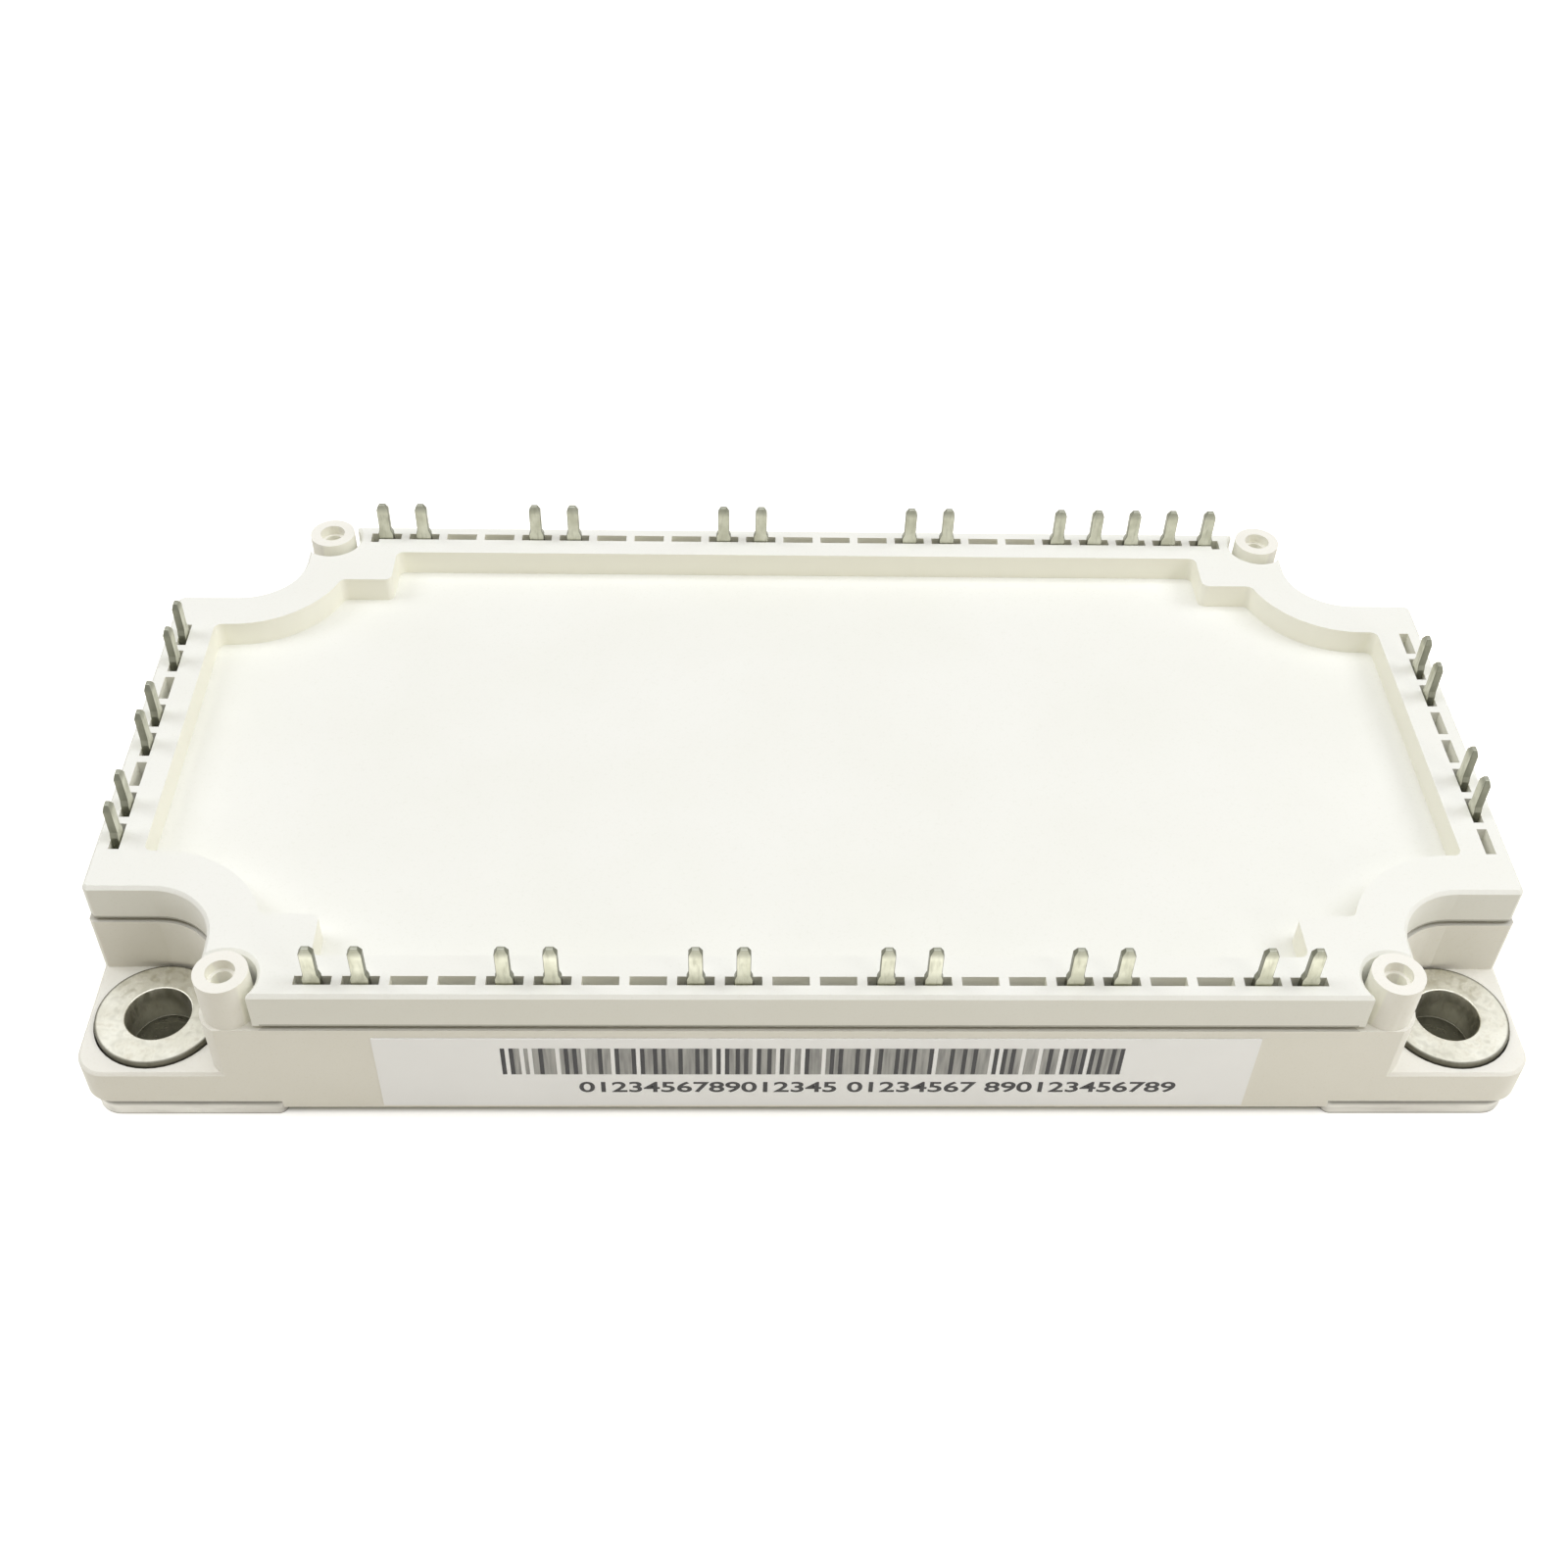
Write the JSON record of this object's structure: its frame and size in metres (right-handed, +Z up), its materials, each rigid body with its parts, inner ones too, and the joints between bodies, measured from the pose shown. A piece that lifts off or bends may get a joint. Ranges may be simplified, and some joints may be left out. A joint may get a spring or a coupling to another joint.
{
  "type": "power rectifier module",
  "caption": "Flat ivory power rectifier module with contact pins through slots round its lid, corner screw flanges, stand-off columns and a metal base plate.",
  "frame": {"origin": "centre of the base plate's underside", "axes": "+X along the long sides, +Y from the labelled side to the other long side, +Z up through the pins"},
  "size_m": [0.122, 0.0621, 0.0201],
  "materials": {
    "plate_nickel": "nickel-plated copper, satin, punched edges",
    "frame_plastic": "glass-filled ivory moulding, fine matt skin",
    "lid_plastic": "ivory moulding, fine matt skin",
    "collar_metal": "nickel-plated brass, satin, lightly scuffed",
    "pin_tin": "tin-plated copper, dull",
    "label_film": "white satin film with black bars",
    "circuit_copper": "bare copper foil",
    "alumina": "sintered white ceramic",
    "silicon": "polished silicon chips",
    "ribbon_aluminium": "soft bright aluminium",
    "gel": "clear soft silicone gel",
    "adhesive": "cured silicone adhesive"
  },
  "bodies": {
    "root": {"back_foil_1": "circuit_copper", "back_foil_2": "circuit_copper", "back_foil_3": "circuit_copper", "baseplate": "plate_nickel", "bond_ribbons": "ribbon_aluminium", "ceramic_tile_1": "alumina", "ceramic_tile_2": "alumina", "ceramic_tile_3": "alumina", "copper_tracks_1": "circuit_copper", "copper_tracks_2": "circuit_copper", "copper_tracks_3": "circuit_copper", "frame_adhesive": "adhesive", "freewheel_diodes": "silicon", "housing_frame": "frame_plastic", "lid": "lid_plastic", "mounting_collar_back_left": "collar_metal", "mounting_collar_back_right": "collar_metal", "mounting_collar_front_left": "collar_metal", "mounting_collar_front_right": "collar_metal", "pin_back_01": "pin_tin", "pin_back_02": "pin_tin", "pin_back_03": "pin_tin", "pin_back_04": "pin_tin", "pin_back_05": "pin_tin", "pin_back_06": "pin_tin", "pin_back_07": "pin_tin", "pin_back_08": "pin_tin", "pin_back_09": "pin_tin", "pin_back_10": "pin_tin", "pin_back_11": "pin_tin", "pin_back_12": "pin_tin", "pin_back_13": "pin_tin", "pin_front_01": "pin_tin", "pin_front_02": "pin_tin", "pin_front_03": "pin_tin", "pin_front_04": "pin_tin", "pin_front_05": "pin_tin", "pin_front_06": "pin_tin", "pin_front_07": "pin_tin", "pin_front_08": "pin_tin", "pin_front_09": "pin_tin", "pin_front_10": "pin_tin", "pin_front_11": "pin_tin", "pin_front_12": "pin_tin", "pin_left_01": "pin_tin", "pin_left_02": "pin_tin", "pin_left_03": "pin_tin", "pin_left_04": "pin_tin", "pin_left_05": "pin_tin", "pin_left_06": "pin_tin", "pin_right_01": "pin_tin", "pin_right_02": "pin_tin", "pin_right_03": "pin_tin", "pin_right_04": "pin_tin", "rectifier_diodes": "silicon", "side_label": "label_film", "silicone_gel": "gel", "thermistor": "alumina", "transistor_chips": "silicon"}
  },
  "joints": []
}
